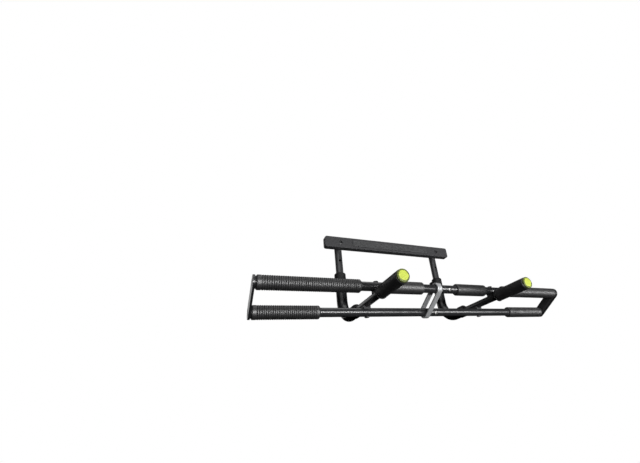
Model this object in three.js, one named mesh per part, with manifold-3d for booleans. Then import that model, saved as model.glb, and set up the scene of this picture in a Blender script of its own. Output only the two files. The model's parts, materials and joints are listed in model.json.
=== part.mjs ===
// Doorway pull-up bar with two cross bars, two neutral-grip handles and a height-adjustable hook board.
//
// Millimetres. X runs along the bars, -Y points at the person using it, +Z is up.
// The origin is the middle of the hook board's underside, which rests on top of the door trim.
// Inside the assembly, places are worked out from the middle of the lower bar.

import * as THREE from 'three';
import { mergeVertices } from 'three/addons/utils/BufferGeometryUtils.js';
import Module from 'manifold-3d';

const wasm = await Module();
wasm.setup();

// ---------- driving dimensions ----------

const GAP = 0.3;

const OVERALL_LENGTH = 1000;
const PLATE_THICKNESS = 5;
const PLATE_WIDTH = 34;

const BAR_R = 12;
const TUBE_WALL = 1.6;
const UPPER_BAR_Y = -75;
const UPPER_BAR_Z = 46;

const SLEEVE_HALF_LENGTH = 60;
const SPLICE_SCREW_X = { lower_bar: 22, upper_bar: 30 };
const SPLICE_SCREW_TILT = THREE.MathUtils.degToRad(25);
const SPLICE_SCREW_DEPTH = 7;
const SPLICE_HEAD_R = 6;
const SPLICE_HEAD_HEIGHT = 3;

const GRIP_R = 17.25;
const GRIP_BEVEL = 3;
const GRIP_OUTER_BEVEL = 1.5;
const LOWER_GRIP_START = 331;
const UPPER_GRIP_START = 245;
const CENTRE_GRIP_START = 58;
const CENTRE_GRIP_END = 170;

const HANDLE_X = 200;
const HANDLE_R = 10.5;
const HANDLE_Z = 23;
const HANDLE_REAR_Y = 100;
const HANDLE_GRIP_R = 17.25;
const HANDLE_GRIP_FRONT_Y = -208;
const HANDLE_GRIP_REAR_Y = -101;
const HANDLE_FLANGE_R = 18;
const HANDLE_FLANGE_THICKNESS = 3;
const CAP_R = 16.4;
const CAP_HEIGHT = 4.6;
const CAP_PLUG_LENGTH = 16;

const ARM_R = 17.5;
const ARM_WALL = 2;
const ARM_FRONT_Y = 64;
const ARM_BEND_R = 65;
const UPRIGHT_Y = 173.5;
const ARM_TOP_Z = 176;
const FERRULE_FRONT = 6;
const FERRULE_REAR = 18;
const FERRULE_WALL = 1.8;

const COLLAR_R = 19;
const COLLAR_BOTTOM_Z = 142;
const COLLAR_TOP_Z = 184;
const COLLAR_CHAMFER = 3;
const KNOB_Z = 170;
const KNOB_BOSS_R = 9;
const KNOB_CORE_R = 10;
const KNOB_LOBE_R = 4.5;
const KNOB_LOBES = 6;
const KNOB_HEIGHT = 13;

const HOOK_TUBE_R = 12.5;
const HOOK_TUBE_BOTTOM_Z = 124;
const HOOK_HOLE_PITCH = 50;
const HOOK_HOLE_TOP_Z = 229;
const HOOK_HOLE_COUNT = 2;

const BOARD_LENGTH = 510;
const BOARD_HEIGHT = 40;
const BOARD_THICKNESS = 20;
const BOARD_BOTTOM_Z = 268;
const BOARD_CORNER_R = 7;
const PAD_LENGTH = 310;
const PAD_HEIGHT = 22;
const PAD_THICKNESS = 3.5;
const PAD_POCKET = 2;

const LINK_X = -8;
const LINK_WIDTH = 16;
const LINK_THICKNESS = 5.5;

const BOLT_R = 4;
const BOLT_HEAD_R = 7;
const BOLT_HEAD_HEIGHT = 3;
const BOLT_TIP = 1;
const HOLE_R = BOLT_R + GAP;
const NUT_R = 7;
const NUT_HEIGHT = 4.5;
const NUT_SEAT = 4.6;
const SADDLE_SIZE = 20;
const SADDLE_HEIGHT = 14;
const OVERCUT = 2;

const ROUND = 20;
const SMALL_ROUND = 12;
const ARM_STEPS = 18;
const SIDES = { left: -1, right: 1 };

const BOARD_Y = UPRIGHT_Y - HOOK_TUBE_R - GAP - BOARD_THICKNESS / 2;
const BOARD_MID_Z = BOARD_BOTTOM_Z + BOARD_HEIGHT / 2;
const PLATE_INNER_X = OVERALL_LENGTH / 2 - PLATE_THICKNESS;
const INSERT_FLANGE = 1.8;
const BAR_END_X = PLATE_INNER_X - INSERT_FLANGE - 2 * GAP;
const BOSS_FACE = COLLAR_R + 4;

// ---------- materials ----------

function material(colour, roughness, metalness) {
  return new THREE.MeshStandardMaterial({ color: colour, roughness, metalness });
}

const finishes = {
  powderCoat: () => material(0x17181a, 0.38, 0.55),
  foam: () => material(0x1b1b1c, 0.82, 0),
  lime: () => material(0xc9df5c, 0.42, 0),
  silver: () => material(0x9a9da0, 0.45, 0.35),
  blackPlastic: () => material(0x202122, 0.6, 0),
  padRubber: () => material(0x2a2b2c, 0.75, 0),
  zinc: () => material(0x8d9093, 0.35, 0.9),
  darkSteel: () => material(0x3a3c3e, 0.4, 0.85),
};

// ---------- solids ----------

function toSolid(geometry) {
  const bare = geometry.index ? geometry.toNonIndexed() : geometry.clone();
  bare.deleteAttribute('normal');
  bare.deleteAttribute('uv');
  const merged = mergeVertices(bare, 1e-4);
  const vertProperties = new Float32Array(merged.attributes.position.array);
  const triVerts = new Uint32Array(merged.index.array);
  return new wasm.Manifold(new wasm.Mesh({ numProp: 3, vertProperties, triVerts }));
}

function toGeometry(solid) {
  const mesh = solid.getMesh();
  const geometry = new THREE.BufferGeometry();
  geometry.setAttribute('position', new THREE.BufferAttribute(new Float32Array(mesh.vertProperties), 3));
  geometry.setIndex(new THREE.BufferAttribute(new Uint32Array(mesh.triVerts), 1));
  geometry.computeVertexNormals();
  return geometry;
}

function cut(body, ...tools) {
  return toGeometry(tools.reduce((solid, tool) => solid.subtract(toSolid(tool)), toSolid(body)));
}

function join(...bodies) {
  return toGeometry(bodies.map(toSolid).reduce((sum, solid) => sum.add(solid)));
}

// A closed shape revolved about Z: profile is a closed list of [radius, z].
function revolve(profile, segments = ROUND) {
  const points = [...profile, profile[0]].map(([radius, z]) => new THREE.Vector2(radius, z));
  return new THREE.LatheGeometry(points, segments).rotateX(Math.PI / 2);
}

// A round tube about Z, from z = from to z = to.
function tube(outer, inner, from, to, segments = ROUND) {
  return revolve([[inner, from], [outer, from], [outer, to], [inner, to]], segments);
}

// A solid round rod about Z, from z = from to z = to.
function rod(radius, from, to, segments = ROUND) {
  return new THREE.CylinderGeometry(radius, radius, to - from, segments)
    .rotateX(Math.PI / 2)
    .translate(0, 0, (from + to) / 2);
}

// A soft grip about Z with bevelled ends and a bore that clears its tube.
function grip(outer, bore, from, to, endBevel = GRIP_BEVEL) {
  return revolve([
    [bore, from],
    [outer - GRIP_BEVEL, from],
    [outer, from + GRIP_BEVEL],
    [outer, to - endBevel],
    [outer - endBevel, to],
    [bore, to],
  ]);
}

// Turns a piece made about Z so that it runs along X (or -X).
const alongX = (geometry, sign = 1) => geometry.rotateY(sign * Math.PI / 2);

// Turns a piece made about Z so that +Z becomes +Y (or -Y).
const alongY = (geometry, sign = 1) => geometry.rotateX(-sign * Math.PI / 2);

// ---------- the assembly ----------

const assembly = new THREE.Group();

function place(parent, name, geometry, finish, x = 0, y = 0, z = 0) {
  const mesh = new THREE.Mesh(geometry, finishes[finish]());
  mesh.name = name;
  mesh.position.set(x, y, z);
  parent.add(mesh);
  return mesh;
}

// ---------- cross bars ----------

// One half of a cross bar about X, with holes for its splice screw and its handle bolt.
function barHalf(side, spliceX) {
  const blank = alongX(tube(BAR_R, BAR_R - TUBE_WALL, GAP / 2, BAR_END_X), side);
  const boltHole = rod(HOLE_R, -BAR_R - OVERCUT, BAR_R + OVERCUT, SMALL_ROUND)
    .translate(side * HANDLE_X, 0, 0);
  return side > 0 ? cut(blank, boltHole, spliceHole(spliceX)) : cut(blank, boltHole);
}

function spliceHole(spliceX) {
  return alongY(rod(HOLE_R, 0, BAR_R + OVERCUT, SMALL_ROUND), -1)
    .rotateX(SPLICE_SCREW_TILT)
    .translate(spliceX, 0, 0);
}

function spliceSleeve(spliceX) {
  const outer = BAR_R - TUBE_WALL - GAP;
  const blank = alongX(tube(outer, outer - TUBE_WALL, -SLEEVE_HALF_LENGTH, SLEEVE_HALF_LENGTH));
  return cut(blank, spliceHole(spliceX));
}

function spliceScrew(spliceX) {
  const tip = BAR_R - SPLICE_SCREW_DEPTH;
  const headTop = BAR_R + SPLICE_HEAD_HEIGHT;
  const screw = revolve([
    [0, tip],
    [BOLT_R, tip],
    [BOLT_R, BAR_R + GAP],
    [SPLICE_HEAD_R, BAR_R + GAP],
    [SPLICE_HEAD_R, BAR_R + SPLICE_HEAD_HEIGHT / 2],
    [BOLT_R, headTop],
    [0, headTop],
  ], SMALL_ROUND);
  return alongY(screw, -1).rotateX(SPLICE_SCREW_TILT).translate(spliceX, 0, 0);
}

function addBar(name, y, z) {
  const spliceX = SPLICE_SCREW_X[name];
  for (const [sideName, side] of Object.entries(SIDES)) {
    place(assembly, `${name}_${sideName}`, barHalf(side, spliceX), 'powderCoat', 0, y, z);
  }
  place(assembly, `${name}_sleeve`, spliceSleeve(spliceX), 'darkSteel', 0, y, z);
  place(assembly, `${name}_splice_screw`, spliceScrew(spliceX), 'zinc', 0, y, z);
}

addBar('lower_bar', 0, 0);
addBar('upper_bar', UPPER_BAR_Y, UPPER_BAR_Z);

// ---------- bar ends ----------

const SCREW_HEAD_R = 8;
const SCREW_HEAD_HEIGHT = 2.6;
const COUNTERBORE_DEPTH = SCREW_HEAD_HEIGHT + GAP;
const INSERT_LENGTH = 26;

// An outline with round ends, in the plane across the bars, around both bar centres.
function aroundBothBars(radius, Outline = THREE.Shape) {
  const lean = Math.atan2(UPPER_BAR_Z, UPPER_BAR_Y);
  const outline = new Outline();
  outline.absarc(0, 0, radius, lean + Math.PI / 2, lean + 1.5 * Math.PI, false);
  outline.absarc(UPPER_BAR_Y, UPPER_BAR_Z, radius, lean - Math.PI / 2, lean + Math.PI / 2, false);
  return outline;
}

// Extrudes an outline drawn in Y and Z along X, from x = from to x = to.
function extrudeAlongX(outline, from, to) {
  const across = new THREE.Matrix4().makeBasis(
    new THREE.Vector3(0, 1, 0),
    new THREE.Vector3(0, 0, 1),
    new THREE.Vector3(1, 0, 0),
  );
  const solid = new THREE.ExtrudeGeometry(outline, {
    depth: to - from,
    bevelEnabled: false,
    curveSegments: ROUND / 2,
  });
  return solid.applyMatrix4(across).translate(from, 0, 0);
}

// A flat plate with round ends that ties the lower bar's end to the upper bar's end.
function endPlate(side) {
  const [from, to] = side > 0 ? [0, PLATE_THICKNESS] : [-PLATE_THICKNESS, 0];
  const plate = extrudeAlongX(aroundBothBars(PLATE_WIDTH / 2), from, to);
  const recess = PLATE_THICKNESS - COUNTERBORE_DEPTH;
  const holes = [[0, 0], [UPPER_BAR_Y, UPPER_BAR_Z]].flatMap(([y, z]) => [
    alongX(rod(HOLE_R, -1, PLATE_THICKNESS + 1, SMALL_ROUND), side).translate(0, y, z),
    alongX(rod(SCREW_HEAD_R + GAP, recess, PLATE_THICKNESS + 1), side).translate(0, y, z),
  ]);
  return cut(plate, ...holes);
}

// A plastic plug in the tube's mouth, with a flange against the plate and a bore for the end screw.
function endInsert() {
  const plug = BAR_R - TUBE_WALL - GAP;
  return revolve([
    [HOLE_R, -INSERT_LENGTH],
    [plug - 1, -INSERT_LENGTH],
    [plug, -INSERT_LENGTH + 1],
    [plug, -INSERT_FLANGE],
    [BAR_R + 2.5, -INSERT_FLANGE],
    [BAR_R + 2.5, 0],
    [HOLE_R, 0],
  ]);
}

function endScrew() {
  return revolve([
    [0, -INSERT_LENGTH + 4],
    [BOLT_R, -INSERT_LENGTH + 4],
    [BOLT_R, -SCREW_HEAD_HEIGHT],
    [SCREW_HEAD_R, -SCREW_HEAD_HEIGHT],
    [SCREW_HEAD_R, -0.6],
    [SCREW_HEAD_R - 0.6, 0],
    [0, 0],
  ], SMALL_ROUND);
}

for (const [sideName, side] of Object.entries(SIDES)) {
  place(assembly, `end_plate_${sideName}`, endPlate(side), 'powderCoat', side * PLATE_INNER_X);
  for (const [barName, y, z] of [['lower', 0, 0], ['upper', UPPER_BAR_Y, UPPER_BAR_Z]]) {
    const name = `${barName}_end`;
    const insertX = side * (PLATE_INNER_X - GAP);
    const screwX = side * OVERALL_LENGTH / 2;
    place(assembly, `${name}_insert_${sideName}`, alongX(endInsert(), side), 'blackPlastic', insertX, y, z);
    place(assembly, `${name}_screw_${sideName}`, alongX(endScrew(), side), 'zinc', screwX, y, z);
  }
}

// ---------- grips on the bars ----------

const SOFT_BORE = BAR_R + GAP;
const GRIP_END_X = BAR_END_X - 2 * GAP;

const barGrips = [
  ['lower_bar_grip', LOWER_GRIP_START, GRIP_END_X, GRIP_OUTER_BEVEL, 0, 0],
  ['upper_bar_grip', UPPER_GRIP_START, GRIP_END_X, GRIP_OUTER_BEVEL, UPPER_BAR_Y, UPPER_BAR_Z],
  ['upper_bar_centre_grip', CENTRE_GRIP_START, CENTRE_GRIP_END, GRIP_BEVEL, UPPER_BAR_Y, UPPER_BAR_Z],
];

for (const [sideName, side] of Object.entries(SIDES)) {
  for (const [name, from, to, endBevel, y, z] of barGrips) {
    const softGrip = alongX(grip(GRIP_R, SOFT_BORE, from, to, endBevel), side);
    place(assembly, `${name}_${sideName}`, softGrip, 'foam', 0, y, z);
  }
}

// ---------- centre link ----------

// A strap bent into a loop around both bars, over their splices.
function centreLink() {
  const inner = BAR_R + GAP;
  const outline = aroundBothBars(inner + LINK_THICKNESS);
  outline.holes.push(aroundBothBars(inner, THREE.Path));
  return extrudeAlongX(outline, -LINK_WIDTH / 2, LINK_WIDTH / 2);
}

place(assembly, 'centre_link', centreLink(), 'silver', LINK_X);

// ---------- handles ----------

// A bolt's hole through the handle tube's underside (side -1) or top (side 1).
function wallHole(y, side) {
  const reach = side * (HANDLE_R + OVERCUT);
  return rod(HOLE_R, Math.min(0, reach), Math.max(0, reach), SMALL_ROUND).translate(0, y, 0);
}

// The handle's tube runs from under the upper bar, over the lower bar, into the arm.
function handleTube() {
  const from = HANDLE_GRIP_FRONT_Y + 1;
  const blank = alongY(tube(HANDLE_R, HANDLE_R - TUBE_WALL, from, HANDLE_REAR_Y));
  return cut(blank, wallHole(0, -1), wallHole(UPPER_BAR_Y, 1));
}

function handleGrip() {
  return alongY(grip(HANDLE_GRIP_R, HANDLE_R + GAP, HANDLE_GRIP_FRONT_Y, HANDLE_GRIP_REAR_Y));
}

// A collar that stops the hand at the grip's rear end.
function handleFlange() {
  const from = HANDLE_GRIP_REAR_Y + GAP;
  const to = from + HANDLE_FLANGE_THICKNESS;
  return alongY(revolve([
    [HANDLE_R + GAP, from],
    [HANDLE_FLANGE_R - 1, from],
    [HANDLE_FLANGE_R, from + 1],
    [HANDLE_FLANGE_R, to - 1],
    [HANDLE_FLANGE_R - 1, to],
    [HANDLE_R + GAP, to],
  ]));
}

// A round plug in the handle's mouth, with a slightly domed face.
function handleCap() {
  const plugR = HANDLE_R - TUBE_WALL - GAP;
  const seat = -HANDLE_GRIP_FRONT_Y + GAP;
  const plugEnd = seat - CAP_PLUG_LENGTH;
  const face = seat + CAP_HEIGHT;
  const chamfer = 1.4;
  return alongY(revolve([
    [0, plugEnd],
    [plugR - 1, plugEnd],
    [plugR, plugEnd + 1],
    [plugR, seat],
    [CAP_R, seat],
    [CAP_R, face - 2 * chamfer],
    [CAP_R - chamfer, face - chamfer / 2],
    [0.7 * CAP_R, face - 0.2],
    [0, face],
  ]), -1);
}

// ---------- saddles and bolts where a handle crosses a bar ----------

// A plastic block between two crossing tubes, hollowed to seat both.
function saddle(barBelow) {
  const block = new THREE.BoxGeometry(SADDLE_SIZE, SADDLE_SIZE, SADDLE_HEIGHT);
  const half = (HANDLE_Z / 2) * (barBelow ? 1 : -1);
  const barSeat = alongX(rod(BAR_R + GAP, -SADDLE_SIZE, SADDLE_SIZE)).translate(0, 0, -half);
  const handleSeat = alongY(rod(HANDLE_R + GAP, -SADDLE_SIZE, SADDLE_SIZE)).translate(0, 0, half);
  const boltHole = rod(HOLE_R, -HANDLE_Z, HANDLE_Z, SMALL_ROUND);
  return cut(block, barSeat, handleSeat, boltHole);
}

// A bolt about Z: the head's flat is at z = 0 and the shank hangs below it.
function bolt(shankLength) {
  return revolve([
    [0, -shankLength],
    [BOLT_R, -shankLength],
    [BOLT_R, 0],
    [BOLT_HEAD_R, 0],
    [BOLT_HEAD_R, BOLT_HEAD_HEIGHT / 2],
    [BOLT_R, BOLT_HEAD_HEIGHT],
    [0, BOLT_HEAD_HEIGHT],
  ], SMALL_ROUND);
}

// A hexagon nut that sits inside the handle tube.
function nut() {
  const sides = 6;
  return cut(rod(NUT_R, 0, NUT_HEIGHT, sides), rod(HOLE_R, -1, NUT_HEIGHT + 1, SMALL_ROUND));
}

function addHandle(sideName, side) {
  const x = side * HANDLE_X;
  const headSeat = BAR_R + GAP;
  const boltLength = headSeat + HANDLE_Z - NUT_SEAT + NUT_HEIGHT + BOLT_TIP;
  const put = (name, geometry, finish, y, z) => {
    place(assembly, `${name}_${sideName}`, geometry, finish, x, y, z);
  };
  put('handle_tube', handleTube(), 'powderCoat', 0, HANDLE_Z);
  put('handle_grip', handleGrip(), 'foam', 0, HANDLE_Z);
  put('handle_flange', handleFlange(), 'blackPlastic', 0, HANDLE_Z);
  put('handle_cap', handleCap(), 'lime', 0, HANDLE_Z);
  put('lower_saddle', saddle(true), 'blackPlastic', 0, HANDLE_Z / 2);
  put('upper_saddle', saddle(false), 'blackPlastic', UPPER_BAR_Y, (HANDLE_Z + UPPER_BAR_Z) / 2);
  put('lower_bolt', bolt(boltLength).rotateX(Math.PI), 'darkSteel', 0, -headSeat);
  put('lower_nut', nut(), 'darkSteel', 0, HANDLE_Z - NUT_SEAT);
  put('upper_bolt', bolt(boltLength), 'darkSteel', UPPER_BAR_Y, UPPER_BAR_Z + headSeat);
  put('upper_nut', nut(), 'darkSteel', UPPER_BAR_Y, HANDLE_Z + NUT_SEAT - NUT_HEIGHT);
}

// ---------- arms ----------

// The arm's centre line: back from the handle, a quarter bend, then straight up.
class ArmLine extends THREE.Curve {
  getPoint(t, target = new THREE.Vector3()) {
    const level = UPRIGHT_Y - ARM_BEND_R - ARM_FRONT_Y;
    const bend = ARM_BEND_R * Math.PI / 2;
    const upright = ARM_TOP_Z - HANDLE_Z - ARM_BEND_R;
    const along = t * (level + bend + upright);
    if (along < level) {
      return target.set(0, ARM_FRONT_Y + along, HANDLE_Z);
    }
    if (along > level + bend) {
      return target.set(0, UPRIGHT_Y, HANDLE_Z + ARM_BEND_R + along - level - bend);
    }
    const angle = (along - level) / ARM_BEND_R;
    const y = UPRIGHT_Y - ARM_BEND_R + ARM_BEND_R * Math.sin(angle);
    return target.set(0, y, HANDLE_Z + ARM_BEND_R - ARM_BEND_R * Math.cos(angle));
  }
}

function armTube() {
  const section = new THREE.Shape().absarc(0, 0, ARM_R, 0, 2 * Math.PI, false);
  section.holes.push(new THREE.Path().absarc(0, 0, ARM_R - ARM_WALL, 0, 2 * Math.PI, true));
  const blank = new THREE.ExtrudeGeometry(section, {
    steps: ARM_STEPS,
    curveSegments: ROUND / 2,
    extrudePath: new ArmLine(),
  });
  const knobHole = alongY(rod(HOLE_R, 0, ARM_R + OVERCUT, SMALL_ROUND))
    .translate(0, UPRIGHT_Y, KNOB_Z);
  return cut(blank, knobHole);
}

// The round shoulder where the handle's tube enters the arm.
function armFerrule() {
  const front = ARM_FRONT_Y - FERRULE_FRONT;
  const rear = ARM_FRONT_Y + FERRULE_REAR;
  const outer = ARM_R + FERRULE_WALL;
  const chamfer = 2.5;
  return alongY(revolve([
    [HANDLE_R + GAP, front],
    [outer - chamfer, front],
    [outer, front + chamfer],
    [outer, rear - 1],
    [outer - 1, rear],
    [ARM_R + GAP, rear],
    [ARM_R + GAP, ARM_FRONT_Y - GAP],
    [HANDLE_R + GAP, ARM_FRONT_Y - GAP],
  ]));
}

// The collar caps the arm and guides the hook's tube; its rear boss takes the lock knob.
function armCollar() {
  const outside = revolve([
    [0, COLLAR_BOTTOM_Z],
    [COLLAR_R - 1, COLLAR_BOTTOM_Z],
    [COLLAR_R, COLLAR_BOTTOM_Z + 1],
    [COLLAR_R, COLLAR_TOP_Z - COLLAR_CHAMFER],
    [COLLAR_R - COLLAR_CHAMFER, COLLAR_TOP_Z],
    [0, COLLAR_TOP_Z],
  ]);
  const boss = alongY(rod(KNOB_BOSS_R, ARM_R + 1, BOSS_FACE)).translate(0, 0, KNOB_Z);
  const armSeat = tube(ARM_R + GAP, ARM_R - ARM_WALL - GAP, COLLAR_BOTTOM_Z - 1, ARM_TOP_Z + GAP);
  const guide = rod(HOOK_TUBE_R + GAP, COLLAR_BOTTOM_Z - 1, COLLAR_TOP_Z + 1);
  const knobHole = alongY(rod(HOLE_R, 0, BOSS_FACE + OVERCUT, SMALL_ROUND)).translate(0, 0, KNOB_Z);
  return cut(join(outside, boss), armSeat, guide, knobHole);
}

// A hand knob with finger lobes on a threaded stem whose tip bears on the hook's tube.
function lockKnob() {
  const stemTip = HOOK_TUBE_R + 2 * GAP;
  const headFrom = BOSS_FACE + 1;
  const headTo = headFrom + KNOB_HEIGHT;
  const reach = KNOB_CORE_R - 1;
  const lobeRing = Array.from({ length: KNOB_LOBES }, (_, i) => {
    const angle = (i * 2 * Math.PI) / KNOB_LOBES;
    return rod(KNOB_LOBE_R, headFrom, headTo, SMALL_ROUND)
      .translate(reach * Math.cos(angle), reach * Math.sin(angle), 0);
  });
  const stem = rod(BOLT_R, stemTip, headFrom + 1, SMALL_ROUND);
  return alongY(join(rod(KNOB_CORE_R, headFrom, headTo), stem, ...lobeRing));
}

function addArm(sideName, side) {
  const x = side * HANDLE_X;
  place(assembly, `arm_tube_${sideName}`, armTube(), 'powderCoat', x);
  place(assembly, `arm_ferrule_${sideName}`, armFerrule(), 'blackPlastic', x, 0, HANDLE_Z);
  place(assembly, `arm_collar_${sideName}`, armCollar(), 'blackPlastic', x, UPRIGHT_Y);
  place(assembly, `lock_knob_${sideName}`, lockKnob(), 'blackPlastic', x, UPRIGHT_Y, KNOB_Z);
}

// ---------- hook ----------

const BOARD_SCREW_HEAD_R = 6.5;
const BOARD_SCREW_HEAD_HEIGHT = 3.5;
const BOARD_SCREW_RECESS = 7;

// The sliding tube: closed at its top, open below, with a row of height holes.
function hookTube() {
  const top = BOARD_BOTTOM_Z + BOARD_HEIGHT - 5;
  const outside = rod(HOOK_TUBE_R, HOOK_TUBE_BOTTOM_Z, top);
  const bore = rod(HOOK_TUBE_R - TUBE_WALL, HOOK_TUBE_BOTTOM_Z - 1, top - 2);
  const throughTube = rod(HOLE_R, -HOOK_TUBE_R - OVERCUT, HOOK_TUBE_R + OVERCUT, SMALL_ROUND);
  const crossHole = (z) => alongY(throughTube.clone()).translate(0, 0, z);
  const holes = Array.from({ length: HOOK_HOLE_COUNT }, (_, i) => {
    return crossHole(HOOK_HOLE_TOP_Z - i * HOOK_HOLE_PITCH);
  });
  return cut(outside, bore, crossHole(BOARD_MID_Z), ...holes);
}

// A rectangle with rounded corners, drawn in X and Z and extruded along Y from y = 0.
function roundedSlab(length, height, thickness, cornerR) {
  const half = length / 2 - cornerR;
  const rise = height / 2 - cornerR;
  const outline = new THREE.Shape();
  outline.absarc(half, rise, cornerR, 0, Math.PI / 2, false);
  outline.absarc(-half, rise, cornerR, Math.PI / 2, Math.PI, false);
  outline.absarc(-half, -rise, cornerR, Math.PI, 1.5 * Math.PI, false);
  outline.absarc(half, -rise, cornerR, 1.5 * Math.PI, 2 * Math.PI, false);
  const slab = new THREE.ExtrudeGeometry(outline, {
    depth: thickness,
    bevelEnabled: false,
    curveSegments: 6,
  });
  return slab.rotateX(Math.PI / 2).translate(0, thickness, 0);
}

function hookBoard() {
  const front = -BOARD_THICKNESS / 2;
  const blank = roundedSlab(BOARD_LENGTH, BOARD_HEIGHT, BOARD_THICKNESS, BOARD_CORNER_R)
    .translate(0, front, 0);
  const pocket = roundedSlab(PAD_LENGTH + 2 * GAP, PAD_HEIGHT + 2 * GAP, PAD_POCKET + 1, 4)
    .translate(0, front - 1, 0);
  const screwHoles = Object.values(SIDES).flatMap((side) => [
    rod(HOLE_R, front - 1, -front + 1, SMALL_ROUND),
    rod(BOARD_SCREW_HEAD_R + GAP, front - 1, front + BOARD_SCREW_RECESS),
  ].map((hole) => alongY(hole).translate(side * HANDLE_X, 0, 0)));
  return cut(blank, pocket, ...screwHoles);
}

function hookPad() {
  const front = -BOARD_THICKNESS / 2 + PAD_POCKET - GAP - PAD_THICKNESS;
  return roundedSlab(PAD_LENGTH, PAD_HEIGHT, PAD_THICKNESS, 4).translate(0, front, 0);
}

// The screw's head is sunk in the board; its shank crosses the hook's tube behind.
function boardScrew() {
  const headFlat = -BOARD_THICKNESS / 2 + BOARD_SCREW_RECESS - GAP;
  const length = BOARD_THICKNESS / 2 - headFlat + 2 * HOOK_TUBE_R - 2;
  return alongY(revolve([
    [0, headFlat - BOARD_SCREW_HEAD_HEIGHT],
    [BOARD_SCREW_HEAD_R - 1.5, headFlat - BOARD_SCREW_HEAD_HEIGHT],
    [BOARD_SCREW_HEAD_R, headFlat - 1.5],
    [BOARD_SCREW_HEAD_R, headFlat],
    [BOLT_R, headFlat],
    [BOLT_R, headFlat + length],
    [0, headFlat + length],
  ], SMALL_ROUND));
}

place(assembly, 'hook_board', hookBoard(), 'blackPlastic', 0, BOARD_Y, BOARD_MID_Z);
place(assembly, 'hook_pad', hookPad(), 'padRubber', 0, BOARD_Y, BOARD_MID_Z);

for (const [sideName, side] of Object.entries(SIDES)) {
  const x = side * HANDLE_X;
  addHandle(sideName, side);
  addArm(sideName, side);
  place(assembly, `hook_tube_${sideName}`, hookTube(), 'powderCoat', x, UPRIGHT_Y);
  place(assembly, `board_screw_${sideName}`, boardScrew(), 'zinc', x, BOARD_Y, BOARD_MID_Z);
}

// The origin is moved to the middle of the hook board's underside.
assembly.position.set(0, -BOARD_Y, -BOARD_BOTTOM_Z);

const pullUpBar = new THREE.Group();
pullUpBar.add(assembly);

export default pullUpBar;
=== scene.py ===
"""Doorway pull-up bar: the detailed pieces, materials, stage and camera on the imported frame.

Metres, in the frame's own axes: X runs along the bars, -Y is towards the person using it, +Z is up.
"""

import json
import math

import bmesh
import bpy
from mathutils import Matrix, Vector

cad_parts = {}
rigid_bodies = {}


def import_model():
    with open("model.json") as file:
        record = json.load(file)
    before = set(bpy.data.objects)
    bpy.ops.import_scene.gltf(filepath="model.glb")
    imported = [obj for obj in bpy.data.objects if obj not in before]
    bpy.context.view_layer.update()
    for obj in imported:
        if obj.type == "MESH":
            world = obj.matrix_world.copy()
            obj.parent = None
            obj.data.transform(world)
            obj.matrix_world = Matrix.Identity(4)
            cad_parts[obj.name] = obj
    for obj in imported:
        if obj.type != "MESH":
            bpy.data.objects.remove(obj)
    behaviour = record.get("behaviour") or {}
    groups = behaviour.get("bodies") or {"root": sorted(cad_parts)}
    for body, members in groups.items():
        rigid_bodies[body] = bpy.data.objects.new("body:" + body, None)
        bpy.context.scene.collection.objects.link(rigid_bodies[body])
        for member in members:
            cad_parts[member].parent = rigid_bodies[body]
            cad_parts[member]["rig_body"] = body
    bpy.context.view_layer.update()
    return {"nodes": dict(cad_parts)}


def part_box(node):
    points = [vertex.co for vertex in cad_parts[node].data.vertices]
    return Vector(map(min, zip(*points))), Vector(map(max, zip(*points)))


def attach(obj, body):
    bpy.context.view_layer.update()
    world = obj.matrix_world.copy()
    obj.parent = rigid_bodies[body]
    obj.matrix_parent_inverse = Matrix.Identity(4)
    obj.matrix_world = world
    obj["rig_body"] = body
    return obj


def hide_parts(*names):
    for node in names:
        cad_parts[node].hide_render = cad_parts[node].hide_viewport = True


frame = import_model()

MM = 0.001
ROUND = 96
SMALL_ROUND = 48
SIDES = {"left": -1, "right": 1}
BEVEL_ANGLE = math.radians(35)

WALL = 1.6 * MM
GAP = 0.3 * MM
SHANK_R = 4 * MM
SHANK_HOLE_R = 4.3 * MM
HANDLE_BORE_R = 10.8 * MM
# How far a cutting tool reaches past the face that it cuts.
OVERCUT = 1 * MM


# ---------- places ----------


def middle(node):
    """The middle of a node's box."""
    low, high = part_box(node)
    return (low + high) / 2


def half_size(node):
    """Half of a node's box, on each axis."""
    low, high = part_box(node)
    return (high - low) / 2


LOWER_BAR = middle("lower_bar_left") * Vector((0, 1, 1))
UPPER_BAR = middle("upper_bar_left") * Vector((0, 1, 1))
BAR_R = half_size("lower_bar_left").z


def along(axis, origin):
    """The matrix that turns +Z to a direction and moves it to an origin."""
    turn = Vector((0, 0, 1)).rotation_difference(Vector(axis).normalized())
    return Matrix.Translation(origin) @ turn.to_matrix().to_4x4()


def lengthwise(node, direction=1):
    """The matrix that lays a turned profile on its node's centre line, along +Y (1) or -Y (-1)."""
    return along((0, direction, 0), middle(node) * Vector((1, 0, 1)))


def outer_x(node, side):
    """The x of a node's face that looks away from the middle of the bar."""
    low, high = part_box(node)
    return high.x if side > 0 else low.x


# ---------- meshes ----------


def mesh_object(name, bm, matrix=None):
    """Closes off a bmesh as a smooth-shaded object with crisp edges."""
    if matrix is not None:
        bm.transform(matrix)
    bmesh.ops.remove_doubles(bm, verts=bm.verts, dist=1e-7)
    bmesh.ops.recalc_face_normals(bm, faces=bm.faces)
    mesh = bpy.data.meshes.new(name)
    bm.to_mesh(mesh)
    bm.free()
    obj = bpy.data.objects.new(name, mesh)
    bpy.context.scene.collection.objects.link(obj)
    crisp(obj)
    return obj


def crisp(obj):
    """Shades a mesh smooth, except over its hard edges."""
    obj.data.shade_smooth()
    obj.data.set_sharp_from_angle(angle=BEVEL_ANGLE)


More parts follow.
